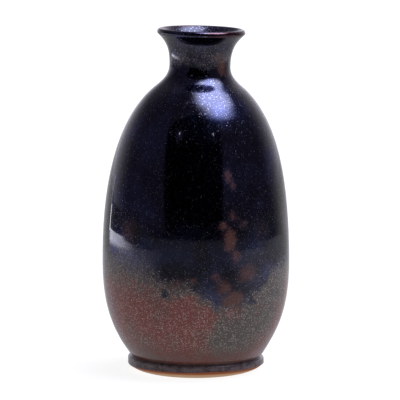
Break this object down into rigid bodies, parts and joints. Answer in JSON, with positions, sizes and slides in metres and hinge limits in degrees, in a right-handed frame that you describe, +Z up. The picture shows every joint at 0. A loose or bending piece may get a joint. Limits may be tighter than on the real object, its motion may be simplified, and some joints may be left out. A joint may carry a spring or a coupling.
{
  "type": "sake bottle",
  "caption": "Glazed stoneware sake bottle with a swelling body, narrow waisted neck, flared lip and a low bevelled foot ring.",
  "frame": {"origin": "on the axis of the body, on the plane that the foot ring stands on", "axes": "+Z up along the axis from foot to mouth; the neck leans slightly towards +X; the side with the main rust-coloured breaks faces -Y"},
  "size_m": [0.0818, 0.0818, 0.1504],
  "materials": {
    "stoneware": "bare, fine-grained, matt",
    "outer_glaze": "glossy, speckled, breaking to red-brown low down",
    "liner_glaze": "glossy"
  },
  "bodies": {
    "root": {"clay_body": "stoneware", "foot_ring": "stoneware", "outer_glaze": "outer_glaze", "liner_glaze": "liner_glaze"}
  },
  "joints": []
}
